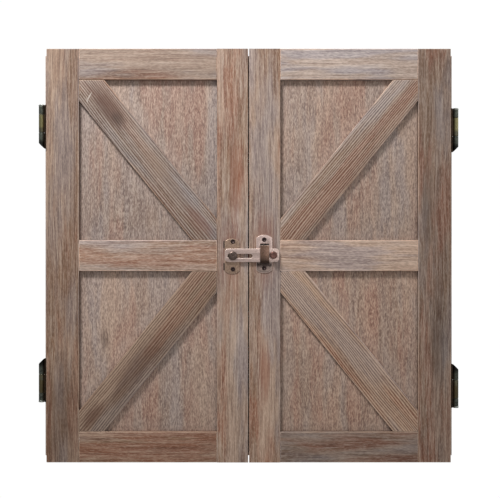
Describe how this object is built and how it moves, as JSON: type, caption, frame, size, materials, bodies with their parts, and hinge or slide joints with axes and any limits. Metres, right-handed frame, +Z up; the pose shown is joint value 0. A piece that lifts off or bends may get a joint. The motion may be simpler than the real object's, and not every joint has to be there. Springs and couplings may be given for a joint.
{
  "type": "dart board cabinet",
  "caption": "Wall-hung dart board cabinet with two whitewashed barn-style doors, side hinges, a swinging bar latch and a bristle board inside.",
  "frame": {"origin": "on the wall plane, at the middle of the centre batten's rear face, straight behind the bull's eye", "axes": "+X to the right as seen from in front, +Y into the wall, +Z up; the doors face -Y"},
  "size_m": [0.7326, 0.116, 0.712],
  "materials": {
    "door_wood": "whitewashed, wire-brushed weathered oak, matt",
    "case_wood": "whitewashed weathered oak, matt",
    "plywood": "stained plywood, matt",
    "chalkboard": "hardboard with matt blackboard paint",
    "antique_brass": "antiqued brass, dark in the recesses",
    "antique_copper": "brushed antique copper, pinkish grey",
    "zinc_steel": "zinc plated",
    "black_band": "satin black",
    "wire": "bright galvanised wire",
    "sisal": "compressed bristle, matt"
  },
  "bodies": {
    "case": {"case_side_left": "case_wood", "case_side_right": "case_wood", "case_top": "case_wood", "case_bottom": "case_wood", "back_panel": "plywood", "hanging_rail": "case_wood", "centre_batten": "case_wood", "spacer_rail": "case_wood", "keyhole_plate_left": "zinc_steel", "keyhole_plate_right": "zinc_steel", "board_bracket": "zinc_steel", "left_upper_hinge_case_leaf": "antique_brass", "left_upper_hinge_pin": "antique_brass", "left_lower_hinge_case_leaf": "antique_brass", "left_lower_hinge_pin": "antique_brass", "right_upper_hinge_case_leaf": "antique_brass", "right_upper_hinge_pin": "antique_brass", "right_lower_hinge_case_leaf": "antique_brass", "right_lower_hinge_pin": "antique_brass"},
    "left_door": {"left_outer_stile": "door_wood", "left_inner_stile": "door_wood", "left_top_rail": "door_wood", "left_middle_rail": "door_wood", "left_bottom_rail": "door_wood", "left_upper_panel": "door_wood", "left_lower_panel": "door_wood", "left_upper_brace": "door_wood", "left_lower_brace": "door_wood", "left_scoreboard": "chalkboard", "left_dart_rack": "case_wood", "left_upper_hinge_door_leaf": "antique_brass", "left_lower_hinge_door_leaf": "antique_brass", "latch_base": "antique_copper", "latch_base_screw_upper": "antique_copper", "latch_base_screw_lower": "antique_copper"},
    "right_door": {"right_outer_stile": "door_wood", "right_inner_stile": "door_wood", "right_top_rail": "door_wood", "right_middle_rail": "door_wood", "right_bottom_rail": "door_wood", "right_upper_panel": "door_wood", "right_lower_panel": "door_wood", "right_upper_brace": "door_wood", "right_lower_brace": "door_wood", "right_scoreboard": "chalkboard", "right_dart_rack": "case_wood", "right_upper_hinge_door_leaf": "antique_brass", "right_lower_hinge_door_leaf": "antique_brass", "latch_keeper": "antique_copper", "keeper_screw_upper": "antique_copper", "keeper_screw_lower": "antique_copper"},
    "latch_stud": {"latch_stud": "antique_copper"},
    "latch_bar": {"latch_bar": "antique_copper", "latch_knob": "antique_copper"},
    "dart_board": {"board_core": "sisal", "board_band": "black_band", "board_spider": "wire", "number_ring": "wire", "hanging_screw": "zinc_steel"}
  },
  "joints": [
    {"name": "left_door_hinge", "type": "hinge", "parent": "case", "child": "left_door", "pos_m": [-0.361, -0.0816, 0], "axis": [0, 0, -1], "range_deg": [0, 180]},
    {"name": "right_door_hinge", "type": "hinge", "parent": "case", "child": "right_door", "pos_m": [0.361, -0.0816, 0], "axis": [0, 0, 1], "range_deg": [0, 180]},
    {"name": "latch_swing", "type": "hinge", "parent": "left_door", "child": "latch_stud", "pos_m": [-0.027, -0.105, -0.0006], "axis": [0, -1, 0], "range_deg": [0, 270]},
    {"name": "latch_slide", "type": "slide", "parent": "latch_stud", "child": "latch_bar", "axis": [1, 0, 0], "range_m": [-0.0035, 0.0035]},
    {"name": "board_turn", "type": "hinge", "parent": "case", "child": "dart_board", "pos_m": [0, -0.045, 0], "axis": [0, 1, 0], "continuous": true}
  ]
}
